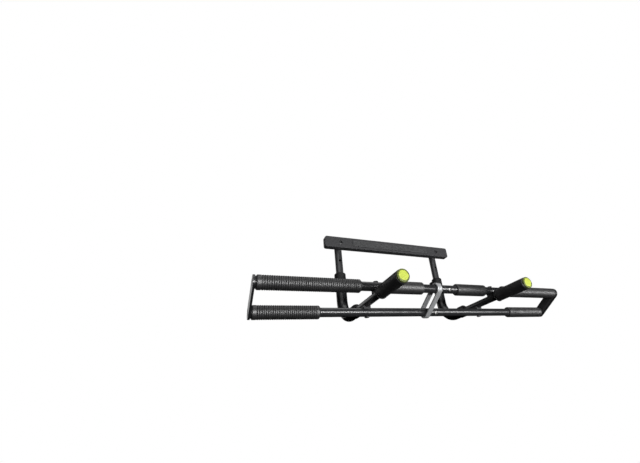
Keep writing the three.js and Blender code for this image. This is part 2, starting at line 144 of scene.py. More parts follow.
def turned(name, profile, matrix, segments=ROUND):
    """A closed profile of (along, radius) points turned about its axis."""
    bm = bmesh.new()
    rows = []
    for step in range(segments):
        angle = 2 * math.pi * step / segments
        cosine, sine = math.cos(angle), math.sin(angle)
        rows.append([bm.verts.new((r * cosine, r * sine, z)) for z, r in profile])
    for row, following in zip(rows, rows[1:] + rows[:1]):
        for i, (_, radius) in enumerate(profile):
            j = (i + 1) % len(profile)
            if radius == 0 and profile[j][1] == 0:
                continue
            bm.faces.new((row[i], row[j], following[j], following[i]))
    return mesh_object(name, bm, matrix)


def rounded(points, radius, steps=4):
    """Rounds a closed outline's corners, except those on y = 0, a turned profile's axis.

    Each corner becomes steps + 1 points.
    """
    smooth = []
    for i, point in enumerate(points):
        here = Vector(point)
        before = Vector(points[i - 1])
        after = Vector(points[(i + 1) % len(points)])
        if here.y == 0:
            smooth.append(tuple(here))
            continue
        reach_in = min(radius, (before - here).length / 2.2)
        reach_out = min(radius, (after - here).length / 2.2)
        start = here + (before - here).normalized() * reach_in
        end = here + (after - here).normalized() * reach_out
        for step in range(steps + 1):
            t = step / steps
            curve = start * (1 - t) ** 2 + here * (2 * t * (1 - t)) + end * t**2
            smooth.append(tuple(curve))
    return smooth


def swept(name, path, section, closed=False):
    """A section of (sideways, outward) points, carried along (point, sideways, outward) places."""
    bm = bmesh.new()
    rings = []
    for point, sideways, outward in path:
        rings.append([bm.verts.new(point + sideways * u + outward * v) for u, v in section])
    pairs = list(zip(rings, rings[1:]))
    if closed:
        pairs.append((rings[-1], rings[0]))
    for ring, following in pairs:
        for i in range(len(section)):
            j = (i + 1) % len(section)
            bm.faces.new((ring[i], ring[j], following[j], following[i]))
    if not closed:
        bm.faces.new(rings[0])
        bm.faces.new(rings[-1])
    return mesh_object(name, bm)


def slab(name, outline, thickness, matrix):
    """A flat outline of (x, y) points, thickened along +Z, then placed."""
    bm = bmesh.new()
    bottom = bm.faces.new([bm.verts.new((x, y, 0)) for x, y in outline])
    lifted = bmesh.ops.extrude_face_region(bm, geom=[bottom])
    top = [v for v in lifted["geom"] if isinstance(v, bmesh.types.BMVert)]
    bmesh.ops.translate(bm, verts=top, vec=(0, 0, thickness))
    return mesh_object(name, bm, matrix)


def circle(radius, segments):
    """The points of a circle, or of a regular polygon's corners."""
    angles = [2 * math.pi * i / segments for i in range(segments)]
    return [(radius * math.cos(a), radius * math.sin(a)) for a in angles]


def rod(name, radius, start, end, matrix):
    """A plain round bar from start to end along its axis, for cutting and joining."""
    profile = [(start, 0), (start, radius), (end, radius), (end, 0)]
    return turned(name, profile, matrix, SMALL_ROUND)


def combined(obj, tools, operation="DIFFERENCE"):
    """Cuts tools out of obj, or joins them to it, and removes them."""
    for tool in tools:
        step = obj.modifiers.new("solid", "BOOLEAN")
        step.operation = operation
        step.object = tool
        step.solver = "EXACT"
    bpy.context.view_layer.update()
    evaluated = obj.evaluated_get(bpy.context.evaluated_depsgraph_get())
    result = bpy.data.meshes.new_from_object(evaluated)
    obj.modifiers.clear()
    obj.data = result
    for tool in tools:
        bpy.data.objects.remove(tool)
    crisp(obj)
    return obj


def softened(obj, width, segments=3):
    """Rounds every hard edge by a small width."""
    bevel = obj.modifiers.new("edges", "BEVEL")
    bevel.width = width
    bevel.segments = segments
    bevel.limit_method = "ANGLE"
    bevel.angle_limit = BEVEL_ANGLE
    bevel.harden_normals = True
    return obj


# ---------- materials ----------


class Surface:
    """A material with a Principled shader, built up in layers of noise over object coordinates."""

    def __init__(self, name, roughness, metallic=0.0, specular=0.5):
        self.material = bpy.data.materials.new(name)
        self.material.use_nodes = True
        self.nodes = self.material.node_tree.nodes
        self.links = self.material.node_tree.links
        self.shader = self.nodes["Principled BSDF"]
        self.shader.inputs["Roughness"].default_value = roughness
        self.shader.inputs["Metallic"].default_value = metallic
        self.shader.inputs["Specular IOR Level"].default_value = specular
        self.coordinates = self.nodes.new("ShaderNodeTexCoord").outputs["Object"]
        self.base = None
        self.normal = None

    def noise(self, scale, detail, stretch=(1, 1, 1)):
        """Noise of a scale per metre, squeezed along each axis by stretch."""
        mapping = self.nodes.new("ShaderNodeMapping")
        mapping.inputs["Scale"].default_value = stretch
        self.links.new(self.coordinates, mapping.inputs["Vector"])
        noise = self.nodes.new("ShaderNodeTexNoise")
        noise.inputs["Scale"].default_value = scale
        noise.inputs["Detail"].default_value = detail
        self.links.new(mapping.outputs["Vector"], noise.inputs["Vector"])
        return noise.outputs["Fac"]

    def cells(self, scale):
        """The distance to the nearest of scattered points, for pits and grain."""
        voronoi = self.nodes.new("ShaderNodeTexVoronoi")
        voronoi.inputs["Scale"].default_value = scale
        self.links.new(self.coordinates, voronoi.inputs["Vector"])
        return voronoi.outputs["Distance"]

    def ramp(self, value, dark, light, start=0.3, end=0.7):
        """A colour that runs from dark to light as a value goes from start to end."""
        ramp = self.nodes.new("ShaderNodeValToRGB")
        ramp.color_ramp.elements[0].position = start
        ramp.color_ramp.elements[0].color = (*dark, 1)
        ramp.color_ramp.elements[1].position = end
        ramp.color_ramp.elements[1].color = (*light, 1)
        self.links.new(value, ramp.inputs["Fac"])
        return ramp.outputs["Color"]

    def colour(self, socket):
        """Takes a socket as the surface's base colour."""
        self.links.new(socket, self.shader.inputs["Base Color"])
        self.base = socket
        return self

    def worn_edges(self, tint, start=0.53, end=0.62):
        """Lightens sharp outer edges, where the finish rubs thin."""
        edge = self.nodes.new("ShaderNodeNewGeometry").outputs["Pointiness"]
        mask = self.ramp(edge, (0, 0, 0), (0.6, 0.6, 0.6), start, end)
        mix = self.nodes.new("ShaderNodeMix")
        mix.data_type = "RGBA"
        self.links.new(mask, mix.inputs["Factor"])
        self.links.new(self.base, mix.inputs["A"])
        mix.inputs["B"].default_value = (*tint, 1)
        return self.colour(mix.outputs["Result"])

    def roughness_between(self, value, low, high):
        """Varies the roughness between two values, as a value goes from 0 to 1."""
        spread = self.nodes.new("ShaderNodeMapRange")
        spread.inputs["To Min"].default_value = low
        spread.inputs["To Max"].default_value = high
        self.links.new(value, spread.inputs["Value"])
        self.links.new(spread.outputs["Result"], self.shader.inputs["Roughness"])
        return self

    def bump(self, height, depth, strength):
        """Adds a layer of relief over the layers before it."""
        bump = self.nodes.new("ShaderNodeBump")
        bump.inputs["Strength"].default_value = strength
        bump.inputs["Distance"].default_value = depth
        self.links.new(height, bump.inputs["Height"])
        if self.normal is not None:
            self.links.new(self.normal, bump.inputs["Normal"])
        self.normal = bump.outputs["Normal"]
        self.links.new(self.normal, self.shader.inputs["Normal"])
        return self


def powder_coat():
    """Satin black powder coat, with its faint orange peel."""
    s = Surface("powder_coat", roughness=0.3, specular=0.55)
    s.colour(s.ramp(s.noise(45, 5), (0.0065, 0.0068, 0.0075), (0.012, 0.0124, 0.0132)))
    s.worn_edges((0.05, 0.05, 0.052))
    s.roughness_between(s.noise(160, 4), 0.27, 0.33)
    s.bump(s.noise(900, 2), 0.02 * MM, 0.06)
    return s.material


def foam():
    """Closed-cell foam rubber: matt, finely pitted, a little dusty."""
    s = Surface("foam_grip", roughness=0.6, specular=0.8)
    s.colour(s.ramp(s.noise(70, 6), (0.005, 0.005, 0.0055), (0.012, 0.012, 0.0125)))
    s.roughness_between(s.noise(260, 4), 0.42, 0.56)
    s.bump(s.cells(1700), 0.12 * MM, 0.35)
    s.bump(s.noise(420, 4), 0.12 * MM, 0.3)
    return s.material


def lime_face():
    """Bright lime plastic with slight moulding variation."""
    s = Surface("lime_face", roughness=0.42, specular=0.45)
    s.colour(s.ramp(s.noise(90, 4), (0.28, 0.33, 0.038), (0.325, 0.375, 0.052)))
    s.roughness_between(s.noise(300, 3), 0.36, 0.5)
    s.bump(s.noise(1200, 2), 0.05 * MM, 0.25)
    return s.material


def lime_rim_painted_shade():
    """The cap's rim in a darker olive copy of the lime: painted shade on its sloping edge."""
    s = Surface("lime_rim_painted_shade", roughness=0.5, specular=0.4)
    s.colour(s.ramp(s.noise(120, 4), (0.05, 0.062, 0.01), (0.085, 0.105, 0.018)))
    s.roughness_between(s.noise(300, 3), 0.42, 0.58)
    s.bump(s.noise(1200, 2), 0.05 * MM, 0.25)
    return s.material


def silver():
    """Silver-grey coated strap with a grainy, hammered finish."""
    s = Surface("silver_link", roughness=0.45, metallic=0.35)
    s.colour(s.ramp(s.noise(650, 5), (0.2, 0.205, 0.21), (0.36, 0.365, 0.37)))
    s.worn_edges((0.6, 0.6, 0.61))
    s.roughness_between(s.noise(400, 4), 0.36, 0.55)
    s.bump(s.noise(750, 4), 0.2 * MM, 0.4)
    return s.material


def black_plastic():
    """Moulded black plastic with a fine spark-eroded texture."""
    s = Surface("black_plastic", roughness=0.5, specular=0.18)
    s.colour(s.ramp(s.noise(60, 5), (0.0045, 0.0047, 0.005), (0.009, 0.0092, 0.0095)))
    s.worn_edges((0.045, 0.045, 0.047))
    s.roughness_between(s.noise(180, 4), 0.42, 0.6)
    s.bump(s.cells(1300), 0.08 * MM, 0.4)
    return s.material


def pad_rubber():
    """Grooved rubber, duller and greyer than the board."""
    s = Surface("pad_rubber", roughness=0.75, specular=0.35)
    s.colour(s.ramp(s.noise(80, 5), (0.022, 0.0225, 0.023), (0.038, 0.0385, 0.04)))
    s.roughness_between(s.noise(220, 4), 0.62, 0.82)
    s.bump(s.noise(1100, 3), 0.1 * MM, 0.4)
    return s.material


def zinc():
    """Bright zinc plating with fine turning marks."""
    s = Surface("zinc_screw", roughness=0.32, metallic=1.0)
    s.colour(s.ramp(s.noise(260, 4), (0.13, 0.13, 0.13), (0.22, 0.22, 0.215)))
    s.roughness_between(s.noise(700, 3), 0.36, 0.5)
    s.bump(s.noise(500, 2, (1, 1, 6)), 0.04 * MM, 0.25)
    return s.material


def dark_steel():
    """Black oxide on steel, rubbed brighter at its edges."""
    s = Surface("dark_steel", roughness=0.4, metallic=0.9)
    s.colour(s.ramp(s.noise(300, 4), (0.045, 0.045, 0.047), (0.085, 0.085, 0.088)))
    s.worn_edges((0.25, 0.25, 0.25))
    s.roughness_between(s.noise(500, 3), 0.34, 0.5)
    s.bump(s.noise(900, 2), 0.04 * MM, 0.25)
    return s.material


FINISHES = {
    "powder_coat": powder_coat(),
    "foam_grip": foam(),
    "lime_cap": lime_face(),
    "silver_link": silver(),
    "black_plastic": black_plastic(),
    "pad_rubber": pad_rubber(),
    "zinc_screw": zinc(),
    "dark_steel": dark_steel(),
}
# A darker olive copy of the lime, used as painted shade on the cap's rim.
LIME_RIM_PAINTED_SHADE = lime_rim_painted_shade()


def finished(obj, finish, *nodes):
    """Gives a piece its finish, and lets it ride in place of its CAD nodes."""
    obj.data.materials.clear()
    obj.data.materials.append(FINISHES[finish])
    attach(obj, frame["nodes"][nodes[0]]["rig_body"])
    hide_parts(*nodes)
    return obj


# ---------- bars and their ends ----------

SPLICE_HEAD_R = 6 * MM
SPLICE_HEAD_HEIGHT = 3 * MM
SPLICE_DEPTH = 7 * MM
SPLICE_TILT = math.radians(25)

PLATE_R = 17 * MM
PLATE_SEAT_R = 8.3 * MM
PLATE_SEAT_DEPTH = 2.9 * MM
PLATE_HOLE_DEPTH = 8 * MM
END_SCREW_LENGTH = 22 * MM
END_SCREW_HEAD = 2.6 * MM
INSERT_FLANGE = 1.8 * MM


def tube_profile(start, end, outer, inner):
    """A tube's wall, with its cut edges slightly broken."""
    return rounded([(start, inner), (start, outer), (end, outer), (end, inner)], 0.4 * MM, 2)


def bar_half(node):
    """One half of a bar: a plain tube."""
    low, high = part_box(node)
    axis = along((1, 0, 0), middle(node) * Vector((0, 1, 1)))
    tube = turned(f"{node}_skin", tube_profile(low.x, high.x, BAR_R, BAR_R - WALL), axis)
    return finished(tube, "powder_coat", node)


def hex_socket(across, depth, mouth):
    """The cutter for a hexagon socket, measured over its corners, sunk from a screw's top."""
    return slab("socket", circle(across / 2, 6), depth, mouth @ Matrix.Translation((0, 0, -depth)))


def splice_screw(bar):
    """The low domed screw that holds a bar's halves on their sleeve, facing forward and down."""
    node = f"{bar}_splice_screw"
    outward = Vector((0, -math.cos(SPLICE_TILT), -math.sin(SPLICE_TILT)))
    centre = Vector((middle(node).x, *middle(f"{bar}_left").yz))
    base = along(outward, centre)
    tip, head_foot, head_top = BAR_R - SPLICE_DEPTH, BAR_R + GAP, BAR_R + SPLICE_HEAD_HEIGHT
    profile = [(head_top, 0)]
    for step in range(1, 7):
        angle = step * math.pi / 12
        rise = head_top - (head_top - head_foot) * 0.75 * (1 - math.cos(angle))
        profile.append((rise, SPLICE_HEAD_R * math.sin(angle)))
    profile += [(head_foot, SPLICE_HEAD_R), (head_foot, SHANK_R), (tip, SHANK_R), (tip, 0)]
    screw = turned(f"{node}_body", profile, base, SMALL_ROUND)
    mouth = base @ Matrix.Translation((0, 0, head_top))
    screw = combined(screw, [hex_socket(5 * MM, 1.8 * MM, mouth)])
    return finished(screw, "zinc_screw", node)


def end_screw(node, side):
    """A flat socket screw sunk in the end plate."""
    face = along((side, 0, 0), Vector((outer_x(node, side), *middle(node).yz)))
    head_r = half_size(node).z
    corners = [
        (-END_SCREW_LENGTH, SHANK_R), (-END_SCREW_HEAD, SHANK_R), (-END_SCREW_HEAD, head_r),
        (0, head_r),
    ]
    profile = [(-END_SCREW_LENGTH, 0)] + rounded(corners, 0.4 * MM, 3) + [(0, 0)]
    screw = turned(f"{node}_body", profile, face, SMALL_ROUND)
    screw = combined(screw, [hex_socket(8 * MM, 1.8 * MM, face)])
    return finished(screw, "zinc_screw", node)


def around_both_bars(radius, steps=40):
    """(point, outward) pairs around both bars, in the plane x = 0, starting on the lower bar."""
    lean = math.atan2(UPPER_BAR.z - LOWER_BAR.z, UPPER_BAR.y - LOWER_BAR.y)
    pairs = []
    for centre, start in ((LOWER_BAR, lean + math.pi / 2), (UPPER_BAR, lean - math.pi / 2)):
        for step in range(steps + 1):
            angle = start + math.pi * step / steps
            outward = Vector((0, math.cos(angle), math.sin(angle)))
            pairs.append((centre + outward * radius, outward))
    return pairs


def end_plate(node, side):
    """A flat steel plate with round ends and two sunk screw seats."""
    low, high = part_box(node)
    outline = [(point.y, point.z) for point, _ in around_both_bars(PLATE_R)]
    stand = Matrix(((0, 0, 1, low.x), (1, 0, 0, 0), (0, 1, 0, 0), (0, 0, 0, 1)))
    plate = slab(f"{node}_body", outline, high.x - low.x, stand)
    cutters = []
    for bar in (LOWER_BAR, UPPER_BAR):
        mouth = along((side, 0, 0), Vector((outer_x(node, side), bar.y, bar.z)))
        cutters.append(rod("hole", SHANK_HOLE_R, -PLATE_HOLE_DEPTH, OVERCUT, mouth))
        cutters.append(rod("seat", PLATE_SEAT_R, -PLATE_SEAT_DEPTH, OVERCUT, mouth))
    plate = softened(combined(plate, cutters), 0.7 * MM, 4)
    return finished(plate, "powder_coat", node)


def end_insert(node, side):
    """The plug in a bar's mouth, whose flange shows as a thin ring."""
    low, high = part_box(node)
    face = along((side, 0, 0), Vector((outer_x(node, side), *middle(node).yz)))
    flange_r = half_size(node).z
    plug_r = BAR_R - WALL - GAP
    length = high.x - low.x
    corners = [
        (-length, SHANK_HOLE_R), (-length, plug_r), (-INSERT_FLANGE, plug_r),
        (-INSERT_FLANGE, flange_r), (0, flange_r), (0, SHANK_HOLE_R),
    ]
    plug = turned(f"{node}_body", rounded(corners, 0.5 * MM, 3), face)
    return finished(plug, "black_plastic", node)


for bar in ("lower_bar", "upper_bar"):
    splice_screw(bar)
    for side_name in SIDES:
        bar_half(f"{bar}_{side_name}")

for side_name, side in SIDES.items():
    end_plate(f"end_plate_{side_name}", side)
    for bar in ("lower", "upper"):
        end_insert(f"{bar}_end_insert_{side_name}", side)
        end_screw(f"{bar}_end_screw_{side_name}", side)


# ---------- foam grips ----------

RIB_PITCH = 5 * MM
RIB_DEPTH = 1.3 * MM
PLAIN_END = 9 * MM
GRIP_BEVEL = 3 * MM
GRIP_OUTER_BEVEL = 1.5 * MM
# The two middle corners of a four-corner outline, once rounded() has made five points of each.
MIDDLE_CORNERS = slice(5, 15)


def rib_sink(distance, length):
    """How far a ribbed grip's skin sinks below its full radius at a place along it."""
    if distance < PLAIN_END or distance > length - PLAIN_END:
        return 0
    ribs = round((length - 2 * PLAIN_END) / RIB_PITCH)
    phase = (distance - PLAIN_END) / (length - 2 * PLAIN_END) * ribs
    crest = 0.5 + 0.5 * math.cos(2 * math.pi * phase)
    return RIB_DEPTH * (1 - crest) ** 3


def grip_profile(length, outer, bore, ribbed, bevels):
    """A foam sleeve's wall: soft bevelled ends and, if ribbed, grooves around it."""
    first, last = bevels
    mouth = [(0, bore), (0, outer - first), (first, outer), (PLAIN_END / 2, outer)]
    tail = [
        (length - PLAIN_END / 2, outer), (length - last, outer), (length, outer - last),
        (length, bore),
    ]
    steps = round(length / (RIB_PITCH / 10)) if ribbed else 24
    skin = []
    for step in range(1, steps):
        place = PLAIN_END / 2 + (length - PLAIN_END) * step / steps
        sink = rib_sink(place, length) if ribbed else 0
        skin.append((place, outer - sink))
    soft = 1.1 * MM
    start = rounded(mouth, soft)[MIDDLE_CORNERS]
    end = rounded(tail, soft)[MIDDLE_CORNERS]
    return [mouth[0]] + start + [mouth[3]] + skin + [tail[0]] + end + [tail[3]]


def foam_grip(node, ribbed, axis, bore, bevels=(GRIP_BEVEL, GRIP_BEVEL)):
    """A foam sleeve along an axis."""
    low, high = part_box(node)
    run = Vector(axis)
    length = abs((high - low).dot(run))
    start = middle(node) - run * length / 2
    outer = half_size(node).z
    profile = grip_profile(length, outer, bore, ribbed, bevels)
    sleeve = turned(f"{node}_foam", profile, along(run, start))
    finished(sleeve, "foam_grip", node)
    return sleeve


for side_name, side in SIDES.items():
    outwards = (side, 0, 0)
    outer_end = (GRIP_BEVEL, GRIP_OUTER_BEVEL)
    foam_grip(f"lower_bar_grip_{side_name}", True, outwards, BAR_R + GAP, outer_end)
    foam_grip(f"upper_bar_grip_{side_name}", True, outwards, BAR_R + GAP, outer_end)
    foam_grip(f"upper_bar_centre_grip_{side_name}", False, outwards, BAR_R + GAP)
    foam_grip(f"handle_grip_{side_name}", False, (0, 1, 0), HANDLE_BORE_R)


# ---------- centre link ----------

STRAP_THICKNESS = 5.5 * MM
STRAP_EDGE_R = 2.2 * MM


def centre_link():
    """A strap with rounded edges, bent into a loop around both bars."""
    low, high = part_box("centre_link")
    half_width = (high.x - low.x) / 2
    corners = [
        (-half_width, 0), (half_width, 0), (half_width, STRAP_THICKNESS),
        (-half_width, STRAP_THICKNESS),
    ]
    # rounded() leaves corners on y = 0 sharp, so the section is rounded 1 m off that line.
    section = rounded([(u, v + 1) for u, v in corners], STRAP_EDGE_R, 5)
    section = [(u, v - 1) for u, v in section]
    sideways = Vector((1, 0, 0))
    shift = middle("centre_link") * sideways
    path = [(point + shift, sideways, outward) for point, outward in around_both_bars(BAR_R + GAP)]
    loop = swept("centre_link_strap", path, section, closed=True)
    return finished(loop, "silver_link", "centre_link")


centre_link()


# ---------- handles ----------

CAP_THICKNESS = 4.6 * MM
CAP_PLUG_R = 8.6 * MM
CAP_FACE = 0.76


def handle_tube(side_name):
    """The tube that runs from the cap, past both bars, into the arm."""
    node = f"handle_tube_{side_name}"
    low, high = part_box(node)
    radius = half_size(node).z
    profile = tube_profile(low.y, high.y, radius, radius - WALL)
    return finished(turned(f"{node}_skin", profile, lengthwise(node)), "powder_coat", node)


def handle_flange(side_name):
    """The ring that stops the grip from sliding back."""
    node = f"handle_flange_{side_name}"
    low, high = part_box(node)
    outer = half_size(node).z
    corners = [
        (low.y, HANDLE_BORE_R), (low.y, outer), (high.y, outer), (high.y, HANDLE_BORE_R),
    ]
    ring = turned(f"{node}_ring", rounded(corners, 1.2 * MM), lengthwise(node))
    return finished(ring, "black_plastic", node)


def handle_cap(side_name):
    """The lime cap: a rim in painted shade (a darker olive lime), a shallow groove and a bright,
    slightly domed face.
    """
    node = f"handle_cap_{side_name}"
    low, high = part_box(node)
    outer = half_size(node).z
    front = -low.y
    foot = front - CAP_THICKNESS
    face_r = outer * CAP_FACE
    profile = [
        (-high.y, 0),
        (-high.y, CAP_PLUG_R),
        (foot, CAP_PLUG_R),
        (foot, outer - 0.4 * MM),
        (foot + 0.4 * MM, outer),
        (foot + CAP_THICKNESS * 0.45, outer),
        (foot + CAP_THICKNESS * 0.7, outer - 0.5 * MM),
        (foot + CAP_THICKNESS * 0.86, outer - 1.4 * MM),
        (foot + CAP_THICKNESS * 0.9, face_r + 0.9 * MM),
        (foot + CAP_THICKNESS * 0.78, face_r + 0.35 * MM),
        (foot + CAP_THICKNESS * 0.78, face_r),
        (foot + CAP_THICKNESS * 0.93, face_r - 0.3 * MM),
        (front - 0.2 * MM, face_r - 1.2 * MM),
        (front - 0.1 * MM, face_r * 0.6),
        (front, 0),
    ]
    cap = turned(f"{node}_moulding", profile, lengthwise(node, -1))
    finished(cap, "lime_cap", node)
    # The rim's faces take the darker olive lime: painted shade, not a second plastic.
    cap.data.materials.append(LIME_RIM_PAINTED_SHADE)
    centre = middle(node)
    for face in cap.data.polygons:
        offset = face.center - centre
        if math.hypot(offset.x, offset.z) > face_r + 0.1 * MM:
            face.material_index = 1
    return cap


for side_name in SIDES:
    handle_tube(side_name)
    handle_flange(side_name)
    handle_cap(side_name)


# ---------- saddles, bolts and nuts ----------

BOLT_HEAD_HEIGHT = 3 * MM
NUT_BORE_R = 4.15 * MM


def saddle(node):
    """A copy of the CAD saddle with its edges softened, which stands for it."""
    source = frame["nodes"][node]
    block = bpy.data.objects.new(f"{node}_block", source.data.copy())
    block.matrix_world = source.matrix_world.copy()
    bpy.context.scene.collection.objects.link(block)
    return finished(softened(block, 0.5 * MM, 2), "black_plastic", node)


def inner_part(node, finish):
    """Keeps a CAD part that other parts cover, with its finish."""
    obj = frame["nodes"][node]
    obj.data.materials.clear()
    obj.data.materials.append(FINISHES[finish])


def bolt(node, direction):
    """A domed bolt with a hexagon socket, whose head faces up (1) or down (-1)."""
    half = half_size(node)
    head_r, length = half.x, 2 * half.z
    up = Vector((0, 0, direction))
    top = along(up, middle(node) + up * half.z)
    profile = [(0, 0)]
    for step in range(1, 5):
        angle = step * math.pi / 8
        drop = BOLT_HEAD_HEIGHT * 0.55 * (1 - math.cos(angle))
        profile.append((-drop, head_r * math.sin(angle)))
    profile += [
        (-BOLT_HEAD_HEIGHT, head_r), (-BOLT_HEAD_HEIGHT, SHANK_R), (-length, SHANK_R), (-length, 0),
    ]
    body = turned(f"{node}_body", profile, top, SMALL_ROUND)
    body = combined(body, [hex_socket(head_r * 1.05, BOLT_HEAD_HEIGHT * 0.6, top)])
    return finished(softened(body, 0.15 * MM, 2), "dark_steel", node)


def nut(node):
    """A hexagon nut with chamfered corners."""
    low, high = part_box(node)
    foot = Matrix.Translation((0, 0, low.z))
    column = Matrix.Translation(middle(node) * Vector((1, 1, 0)))
    body = slab(f"{node}_hex", circle(half_size(node).x, 6), high.z - low.z, foot)
    body.data.transform(column)
    bore = rod("bore", NUT_BORE_R, low.z - OVERCUT, high.z + OVERCUT, column)
    return finished(softened(combined(body, [bore]), 0.5 * MM, 2), "dark_steel", node)


for side_name in SIDES:
    for place in ("lower", "upper"):
        saddle(f"{place}_saddle_{side_name}")
        nut(f"{place}_nut_{side_name}")
    bolt(f"lower_bolt_{side_name}", -1)
    bolt(f"upper_bolt_{side_name}", 1)

inner_part("lower_bar_sleeve", "dark_steel")
inner_part("upper_bar_sleeve", "dark_steel")


# ---------- arms ----------

ARM_BEND_R = 65 * MM
ARM_BEND_STEPS = 32
# The ferrule and the collar fit around the arm; the collar's lip guides the hook tube.
ARM_SEAT_R = 17.8 * MM
GUIDE_R = 12.8 * MM
FERRULE_LIP = 5.7 * MM

COLLAR_LIP = 7.7 * MM
COLLAR_CHAMFER = 3 * MM
COLLAR_GROOVE = 12 * MM
BOSS_R = 9 * MM
BOSS_FOOT = 18.3 * MM
BOSS_FACE = 23 * MM

KNOB_HEAD = 13 * MM
KNOB_LOBES = 6
KNOB_SWELL = 1.3 * MM
KNOB_DISH_R = 7 * MM
KNOB_DISH_DEPTH = 1.5 * MM


def arm_path(node):
    """The arm's centre line: back from the handle, a quarter bend, then straight up."""
    low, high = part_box(node)
    radius = half_size(node).x
    x = middle(node).x
    level_z, upright_y = low.z + radius, high.y - radius
    sideways = Vector((1, 0, 0))
    path = [(Vector((x, low.y, level_z)), sideways, Vector((0, 0, 1)))]
    bend_centre = Vector((x, upright_y - ARM_BEND_R, level_z + ARM_BEND_R))
    for step in range(ARM_BEND_STEPS + 1):
        angle = math.pi / 2 * step / ARM_BEND_STEPS
        outward = Vector((0, math.sin(angle), -math.cos(angle)))
        path.append((bend_centre + outward * ARM_BEND_R, sideways, -outward))
    path.append((Vector((x, upright_y, high.z)), sideways, Vector((0, -1, 0))))
    return path, radius


def arm_tube(side_name):
    """The curved arm, whose open ends the ferrule and the collar hide."""
    node = f"arm_tube_{side_name}"
    path, radius = arm_path(node)
    return finished(swept(f"{node}_skin", path, circle(radius, ROUND)), "powder_coat", node)


def arm_ferrule(side_name):
    """The round shoulder where the handle's tube enters the arm."""
    node = f"arm_ferrule_{side_name}"
    low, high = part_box(node)
    outer = half_size(node).z
    seat = low.y + FERRULE_LIP
    corners = [
        (low.y, HANDLE_BORE_R), (low.y, outer - 2.2 * MM), (low.y + 2.4 * MM, outer),
        (high.y, outer), (high.y, ARM_SEAT_R), (seat, ARM_SEAT_R), (seat, HANDLE_BORE_R),
    ]
    ring = turned(f"{node}_ring", rounded(corners, 0.9 * MM), lengthwise(node))
    return finished(ring, "black_plastic", node)


def arm_collar(side_name):
    """The collar that caps the arm, with a shallow parting groove and the lock knob's boss."""
    node = f"arm_collar_{side_name}"
    low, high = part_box(node)
    outer = half_size(node).x
    upright_y = middle(f"hook_tube_{side_name}").y
    x = middle(node).x
    axis = along((0, 0, 1), Vector((x, upright_y, 0)))
    groove = high.z - COLLAR_GROOVE
    seat = high.z - COLLAR_LIP
    corners = [
        (low.z, ARM_SEAT_R), (low.z, outer), (groove - 0.8 * MM, outer), (groove, outer - 0.7 * MM),
        (groove + 0.8 * MM, outer), (high.z - COLLAR_CHAMFER, outer),
        (high.z, outer - COLLAR_CHAMFER), (high.z, GUIDE_R), (seat, GUIDE_R), (seat, ARM_SEAT_R),
    ]
    collar = turned(f"{node}_ring", rounded(corners, 0.7 * MM, 3), axis)
    knob = middle(f"lock_knob_{side_name}")
    back = along((0, 1, 0), Vector((x, upright_y, knob.z)))
    corners = [
        (BOSS_FOOT, SHANK_HOLE_R), (BOSS_FOOT, BOSS_R), (BOSS_FACE, BOSS_R),
        (BOSS_FACE, SHANK_HOLE_R),
    ]
    boss = turned("boss", rounded(corners, 0.6 * MM, 3), back, SMALL_ROUND)
    return finished(combined(collar, [boss], "UNION"), "black_plastic", node)


def lock_knob(side_name):
    """A hand knob: a lobed head, dished at the back, on a stem of the same black plastic."""
    node = f"lock_knob_{side_name}"
    low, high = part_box(node)
    mean_r = half_size(node).x - KNOB_SWELL
    outline = []
    for step in range(ROUND):
        angle = 2 * math.pi * step / ROUND
        radius = mean_r + KNOB_SWELL * math.cos(KNOB_LOBES * angle)
        outline.append((radius * math.cos(angle), radius * math.sin(angle)))
    back = along((0, 1, 0), Vector((middle(node).x, high.y - KNOB_HEAD, middle(node).z)))
    knob = slab(f"{node}_head", outline, KNOB_HEAD, back)
    dish = rod("dish", KNOB_DISH_R, KNOB_HEAD - KNOB_DISH_DEPTH, KNOB_HEAD + OVERCUT, back)
    stem = rod("stem", SHANK_R, low.y - high.y + KNOB_HEAD, OVERCUT, back)
    knob = combined(combined(knob, [dish]), [stem], "UNION")
    return finished(softened(knob, 1.2 * MM, 4), "black_plastic", node)


for side_name in SIDES:
    arm_tube(side_name)
    arm_ferrule(side_name)
    arm_collar(side_name)
    lock_knob(side_name)


# ---------- hook ----------

FIRST_HOLE_DROP = 59 * MM
HOLE_PITCH = 50 * MM
TUBE_CHAMFER = 1 * MM
TUBE_TOP = 2 * MM
BOARD_CORNER_R = 7 * MM
BOARD_SEAT_R = 6.8 * MM
BOARD_SEAT_DEPTH = 7 * MM
PAD_CORNER_R = 4 * MM
PAD_POCKET_DEPTH = 2 * MM
GROOVE_WIDTH = 1.6 * MM
GROOVE_DEPTH = 1 * MM
GROOVE_END_R = 0.79 * MM
GROOVE_INSET = 6 * MM
BOARD_SCREW_HEAD = 3.5 * MM


def hook_tube(side_name):
    """The sliding tube, closed at its top, with two height holes and its board screw's hole."""
    node = f"hook_tube_{side_name}"
    low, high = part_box(node)
    outer = half_size(node).x
    centre = middle(node) * Vector((1, 1, 0))
    inner, roof = outer - WALL, high.z - TUBE_TOP
    profile = [
        (low.z, inner), (low.z, outer), (high.z - TUBE_CHAMFER, outer),
        (high.z, outer - TUBE_CHAMFER), (high.z, 0), (roof, 0), (roof, inner),
    ]
    tube = turned(f"{node}_skin", profile, Matrix.Translation(centre))
    board_z = middle("hook_board").z
    highest = board_z - FIRST_HOLE_DROP
    holes = []
    for z in (highest, highest - HOLE_PITCH, board_z):
        across = along((0, 1, 0), centre + Vector((0, 0, z)))
        holes.append(rod("hole", SHANK_HOLE_R, -outer - 2 * OVERCUT, outer + 2 * OVERCUT, across))
    return finished(combined(tube, holes), "powder_coat", node)


